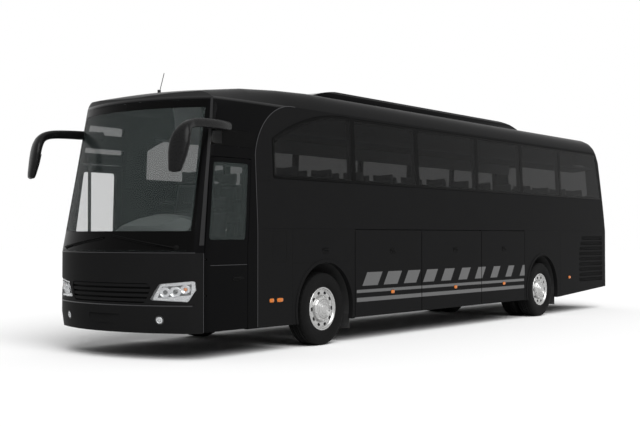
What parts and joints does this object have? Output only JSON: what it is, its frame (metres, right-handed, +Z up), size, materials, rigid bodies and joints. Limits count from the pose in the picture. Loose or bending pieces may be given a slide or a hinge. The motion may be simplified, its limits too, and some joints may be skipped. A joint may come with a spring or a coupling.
{
  "type": "touring coach bus",
  "caption": "Long two-axle touring coach with a bowed leaning windscreen, flush tinted side windows, luggage flaps, roof fairing, horn-shaped mirrors and twin rear wheels.",
  "frame": {"origin": "on the ground, in the middle of the overall box", "axes": "+X forwards, +Y to the coach's left, +Z up"},
  "size_m": [13.1306, 2.893, 3.6741],
  "materials": {
    "body_paint": "satin gloss near-black paint",
    "gloss_black": "deep gloss black",
    "tinted_glass": "grey tinted glass",
    "clear_lamp": "clear lens over bright reflectors",
    "red_lamp": "red lens",
    "grille_black": "matt black",
    "underframe": "matt dark grey paint",
    "cast_engine": "cast surface",
    "bellows": "matt black",
    "floor_covering": "ribbed dark grey",
    "cabin_trim": "grained dark grey",
    "seat_cloth": "dark woven cloth",
    "door_steel": "brushed",
    "tyre_rubber": "matt black",
    "rim_metal": "bright polished"
  },
  "bodies": {
    "body": {"chassis_frame": "underframe", "axles": "underframe", "air_springs": "bellows", "engine": "cast_engine", "luggage_bay": "underframe", "cabin_floor": "floor_covering", "entry_steps": "floor_covering", "roof_panel": "body_paint", "roof_fairing": "body_paint", "left_wall": "body_paint", "right_wall": "body_paint", "windows": "tinted_glass", "front_frame": "gloss_black", "windscreen": "tinted_glass", "front_panel": "body_paint", "front_grille": "grille_black", "front_bumper": "body_paint", "front_lamps": "clear_lamp", "rear_wall": "body_paint", "rear_bumper": "body_paint", "tail_lamps": "red_lamp", "side_skirts": "body_paint", "wheel_arches": "bellows", "mirrors": "gloss_black", "wipers": "grille_black", "dashboard": "cabin_trim", "seats": "seat_cloth", "luggage_racks": "cabin_trim", "antenna": "grille_black"},
    "knuckle_left": {"knuckle_left": "underframe"},
    "knuckle_right": {"knuckle_right": "underframe"},
    "steering_wheel": {"steering_wheel": "cabin_trim"},
    "driver_door": {"driver_door": "gloss_black", "driver_door_glass": "tinted_glass"},
    "front_door_arm": {"front_door_arm": "door_steel"},
    "front_door": {"front_door": "gloss_black", "front_door_glass": "tinted_glass"},
    "mid_door_arm": {"mid_door_arm": "door_steel"},
    "mid_door": {"mid_door": "body_paint", "mid_door_glass": "tinted_glass"},
    "engine_lid": {"engine_lid": "body_paint"},
    "left_flap_front": {"left_flap_front": "body_paint"},
    "left_flap_middle": {"left_flap_middle": "body_paint"},
    "left_flap_rear": {"left_flap_rear": "body_paint"},
    "right_flap_front": {"right_flap_front": "body_paint"},
    "right_flap_middle": {"right_flap_middle": "body_paint"},
    "wheel_front_left": {"tyre_front_left": "tyre_rubber", "rim_front_left": "rim_metal"},
    "wheel_front_right": {"tyre_front_right": "tyre_rubber", "rim_front_right": "rim_metal"},
    "wheel_rear_left": {"tyre_rear_left": "tyre_rubber", "rim_rear_left": "rim_metal"},
    "wheel_rear_right": {"tyre_rear_right": "tyre_rubber", "rim_rear_right": "rim_metal"}
  },
  "joints": [
    {"name": "steer_left", "type": "hinge", "parent": "body", "child": "knuckle_left", "pos_m": [3.495, 0.93, 0.505], "axis": [0, 0, 1], "range_deg": [-42, 42]},
    {"name": "steer_right", "type": "hinge", "parent": "body", "child": "knuckle_right", "pos_m": [3.495, -0.93, 0.505], "axis": [0, 0, 1], "range_deg": [-42, 42]},
    {"name": "steering_wheel_turn", "type": "hinge", "parent": "body", "child": "steering_wheel", "pos_m": [5.535, 0.56, 1.68], "axis": [-0.4695, 0, 0.8829], "range_deg": [-756, 756]},
    {"name": "front_left_roll", "type": "hinge", "parent": "knuckle_left", "child": "wheel_front_left", "pos_m": [3.495, 1.0975, 0.505], "axis": [0, 1, 0], "continuous": true},
    {"name": "front_right_roll", "type": "hinge", "parent": "knuckle_right", "child": "wheel_front_right", "pos_m": [3.495, -1.0975, 0.505], "axis": [0, 1, 0], "continuous": true},
    {"name": "rear_left_roll", "type": "hinge", "parent": "body", "child": "wheel_rear_left", "pos_m": [-3.395, 1.0975, 0.505], "axis": [0, 1, 0], "continuous": true},
    {"name": "rear_right_roll", "type": "hinge", "parent": "body", "child": "wheel_rear_right", "pos_m": [-3.395, -1.0975, 0.505], "axis": [0, 1, 0], "continuous": true},
    {"name": "driver_door_swing", "type": "hinge", "parent": "body", "child": "driver_door", "pos_m": [5.928, 1.258, 1], "axis": [0, 0, -1], "range_deg": [0, 80]},
    {"name": "front_door_column", "type": "hinge", "parent": "body", "child": "front_door_arm", "pos_m": [5.675, -1.11, 1], "axis": [0, 0, 1], "range_deg": [0, 120]},
    {"name": "front_door_leaf", "type": "hinge", "parent": "front_door_arm", "child": "front_door", "pos_m": [5.195, -1.08, 1], "axis": [0, 0, -1], "range_deg": [0, 120]},
    {"name": "mid_door_column", "type": "hinge", "parent": "body", "child": "mid_door_arm", "pos_m": [-2.405, -1.11, 1], "axis": [0, 0, -1], "range_deg": [0, 120]},
    {"name": "mid_door_leaf", "type": "hinge", "parent": "mid_door_arm", "child": "mid_door", "pos_m": [-1.925, -1.08, 1], "axis": [0, 0, 1], "range_deg": [0, 120]},
    {"name": "left_flap_front_lift", "type": "hinge", "parent": "body", "child": "left_flap_front", "pos_m": [1.8, 1.263, 1.591], "axis": [1, 0, 0], "range_deg": [0, 95]},
    {"name": "left_flap_middle_lift", "type": "hinge", "parent": "body", "child": "left_flap_middle", "pos_m": [0, 1.263, 1.591], "axis": [1, 0, 0], "range_deg": [0, 95]},
    {"name": "left_flap_rear_lift", "type": "hinge", "parent": "body", "child": "left_flap_rear", "pos_m": [-1.9, 1.263, 1.591], "axis": [1, 0, 0], "range_deg": [0, 95]},
    {"name": "right_flap_front_lift", "type": "hinge", "parent": "body", "child": "right_flap_front", "pos_m": [1.8, -1.263, 1.591], "axis": [-1, 0, 0], "range_deg": [0, 95]},
    {"name": "right_flap_middle_lift", "type": "hinge", "parent": "body", "child": "right_flap_middle", "pos_m": [0, -1.263, 1.591], "axis": [-1, 0, 0], "range_deg": [0, 95]},
    {"name": "engine_lid_lift", "type": "hinge", "parent": "body", "child": "engine_lid", "pos_m": [-6.553, 0, 1.558], "axis": [0, 1, 0], "range_deg": [0, 85]}
  ],
  "couplings": [
    {"joint": "steer_right", "follows": "steer_left", "ratio": 1},
    {"joint": "steering_wheel_turn", "follows": "steer_left", "ratio": 18},
    {"joint": "front_door_leaf", "follows": "front_door_column", "ratio": 1},
    {"joint": "mid_door_leaf", "follows": "mid_door_column", "ratio": 1}
  ]
}
